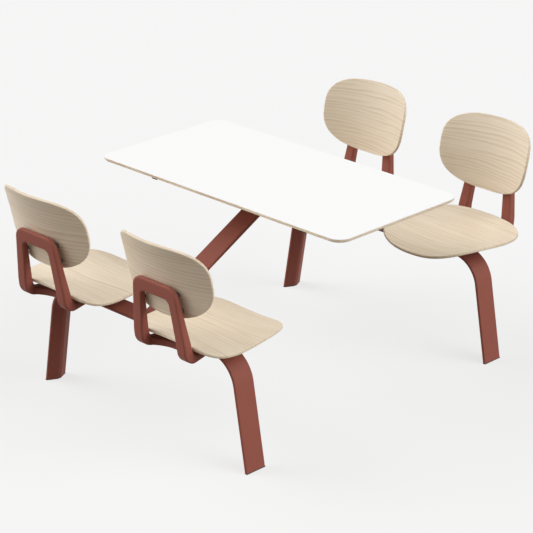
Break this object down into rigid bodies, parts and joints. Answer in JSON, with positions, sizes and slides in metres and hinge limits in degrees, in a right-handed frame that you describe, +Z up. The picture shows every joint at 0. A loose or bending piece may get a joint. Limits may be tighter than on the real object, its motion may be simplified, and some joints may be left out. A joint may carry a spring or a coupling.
{
  "type": "table with attached swivel seats",
  "caption": "Rectangular table on a bent-tube frame, with moulded plywood swivel seats carried on a bench beam along each long side.",
  "frame": {"origin": "on the floor, under the middle of the table top", "axes": "+X along the table's length, +Y across it towards the far bench, +Z up"},
  "size_m": [1.2, 1.763, 0.8324],
  "materials": {
    "plywood": "clear satin lacquer on pale oak veneer",
    "laminate": "smooth white laminate",
    "painted_frame": "fine-textured satin powder coat",
    "dark_plastic": "moulded, matt",
    "zinc_steel": "zinc plated"
  },
  "bodies": {
    "table": {"tabletop_core": "plywood", "tabletop_laminate": "laminate", "cross_rail_left": "painted_frame", "cross_rail_right": "painted_frame", "spine": "painted_frame", "rail_end_caps": "dark_plastic", "bench_frame_near": "painted_frame", "bench_frame_far": "painted_frame", "arch_tube": "painted_frame", "arch_saddle": "painted_frame", "foot_glide_near_left": "dark_plastic", "foot_glide_near_right": "dark_plastic", "foot_glide_far_left": "dark_plastic", "foot_glide_far_right": "dark_plastic", "top_screws": "zinc_steel", "saddle_bolts": "zinc_steel", "base_screws": "zinc_steel", "base_inserts": "zinc_steel", "swivel_washers": "zinc_steel", "swivel_nuts": "zinc_steel", "swivel_base_near_left": "painted_frame", "swivel_base_near_right": "painted_frame", "swivel_base_far_left": "painted_frame", "swivel_base_far_right": "painted_frame"},
    "seat_near_left": {"carrier_near_left": "painted_frame", "swivel_bush_near_left": "dark_plastic", "seat_near_left": "plywood", "backrest_near_left": "plywood", "seat_pads_near_left": "dark_plastic", "back_pads_near_left": "dark_plastic", "seat_screws_near_left": "zinc_steel", "back_studs_near_left": "zinc_steel"},
    "seat_near_right": {"carrier_near_right": "painted_frame", "swivel_bush_near_right": "dark_plastic", "seat_near_right": "plywood", "backrest_near_right": "plywood", "seat_pads_near_right": "dark_plastic", "back_pads_near_right": "dark_plastic", "seat_screws_near_right": "zinc_steel", "back_studs_near_right": "zinc_steel"},
    "seat_far_left": {"carrier_far_left": "painted_frame", "swivel_bush_far_left": "dark_plastic", "seat_far_left": "plywood", "backrest_far_left": "plywood", "seat_pads_far_left": "dark_plastic", "back_pads_far_left": "dark_plastic", "seat_screws_far_left": "zinc_steel", "back_studs_far_left": "zinc_steel"},
    "seat_far_right": {"carrier_far_right": "painted_frame", "swivel_bush_far_right": "dark_plastic", "seat_far_right": "plywood", "backrest_far_right": "plywood", "seat_pads_far_right": "dark_plastic", "back_pads_far_right": "dark_plastic", "seat_screws_far_right": "zinc_steel", "back_studs_far_right": "zinc_steel"}
  },
  "joints": [
    {"name": "swivel_near_left", "type": "hinge", "parent": "table", "child": "seat_near_left", "pos_m": [-0.3, -0.61, 0.42], "axis": [0, 0, 1], "continuous": true},
    {"name": "swivel_near_right", "type": "hinge", "parent": "table", "child": "seat_near_right", "pos_m": [0.3, -0.61, 0.42], "axis": [0, 0, 1], "continuous": true},
    {"name": "swivel_far_left", "type": "hinge", "parent": "table", "child": "seat_far_left", "pos_m": [-0.3, 0.61, 0.42], "axis": [0, 0, 1], "continuous": true},
    {"name": "swivel_far_right", "type": "hinge", "parent": "table", "child": "seat_far_right", "pos_m": [0.3, 0.61, 0.42], "axis": [0, 0, 1], "continuous": true}
  ]
}
